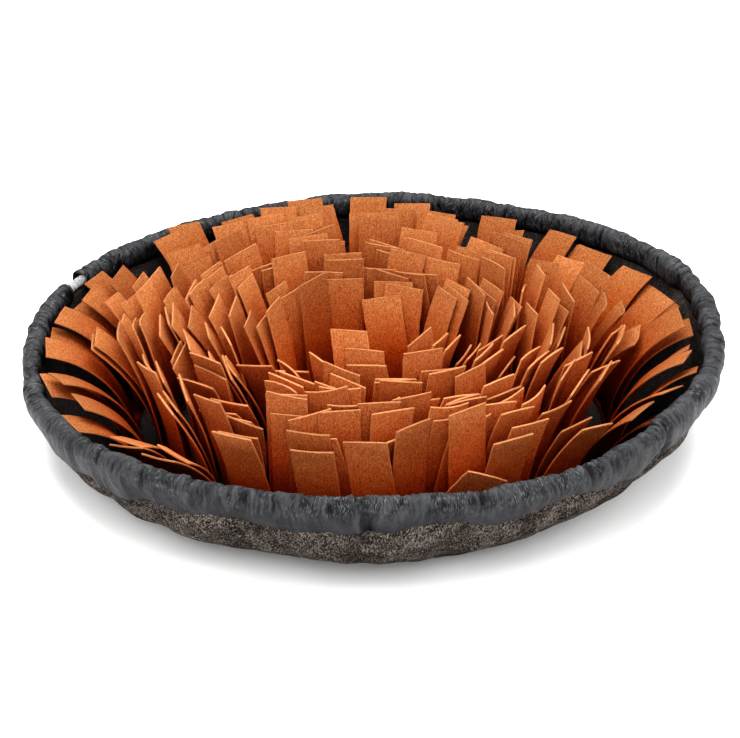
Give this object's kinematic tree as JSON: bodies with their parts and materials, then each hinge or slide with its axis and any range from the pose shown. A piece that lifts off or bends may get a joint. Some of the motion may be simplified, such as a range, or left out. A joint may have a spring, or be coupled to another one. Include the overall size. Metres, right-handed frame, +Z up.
{
  "type": "snuffle mat",
  "caption": "Round felt snuffle mat drawn up into a shallow bowl, with concentric rings of standing rust felt strips inside and a gathered grey edge casing with a drawcord.",
  "frame": {"origin": "middle of the flat underside, on the surface that the mat lies on", "axes": "+Z up out of the bowl, +X to the right and +Y to the back, with the drawcord's gap at the back left"},
  "size_m": [0.4258, 0.4261, 0.09],
  "materials": {
    "rust_felt": "matte felt",
    "melange_felt": "matte felt",
    "slate_nylon": "gathered nylon with a soft sheen",
    "cord": "matte cord"
  },
  "bodies": {
    "root": {"felt_base": "melange_felt", "rim_casing": "slate_nylon", "drawcord": "cord", "strip_ring_1_arc_01": "rust_felt", "strip_ring_1_arc_02": "rust_felt", "strip_ring_1_arc_03": "rust_felt", "strip_ring_1_arc_04": "rust_felt", "strip_ring_1_arc_05": "rust_felt", "strip_ring_2_arc_01": "rust_felt", "strip_ring_2_arc_02": "rust_felt", "strip_ring_2_arc_03": "rust_felt", "strip_ring_2_arc_04": "rust_felt", "strip_ring_2_arc_05": "rust_felt", "strip_ring_2_arc_06": "rust_felt", "strip_ring_2_arc_07": "rust_felt", "strip_ring_2_arc_08": "rust_felt", "strip_ring_3_arc_01": "rust_felt", "strip_ring_3_arc_02": "rust_felt", "strip_ring_3_arc_03": "rust_felt", "strip_ring_3_arc_04": "rust_felt", "strip_ring_3_arc_05": "rust_felt", "strip_ring_3_arc_06": "rust_felt", "strip_ring_3_arc_07": "rust_felt", "strip_ring_4_arc_01": "rust_felt", "strip_ring_4_arc_02": "rust_felt", "strip_ring_4_arc_03": "rust_felt", "strip_ring_4_arc_04": "rust_felt", "strip_ring_4_arc_05": "rust_felt", "strip_ring_4_arc_06": "rust_felt", "strip_ring_4_arc_07": "rust_felt", "strip_ring_4_arc_08": "rust_felt", "strip_ring_4_arc_09": "rust_felt", "strip_ring_5_arc_01": "rust_felt", "strip_ring_5_arc_02": "rust_felt", "strip_ring_5_arc_03": "rust_felt", "strip_ring_5_arc_04": "rust_felt", "strip_ring_5_arc_05": "rust_felt", "strip_ring_5_arc_06": "rust_felt", "strip_ring_5_arc_07": "rust_felt", "strip_ring_5_arc_08": "rust_felt", "strip_ring_5_arc_09": "rust_felt", "strip_ring_5_arc_10": "rust_felt"}
  },
  "joints": []
}
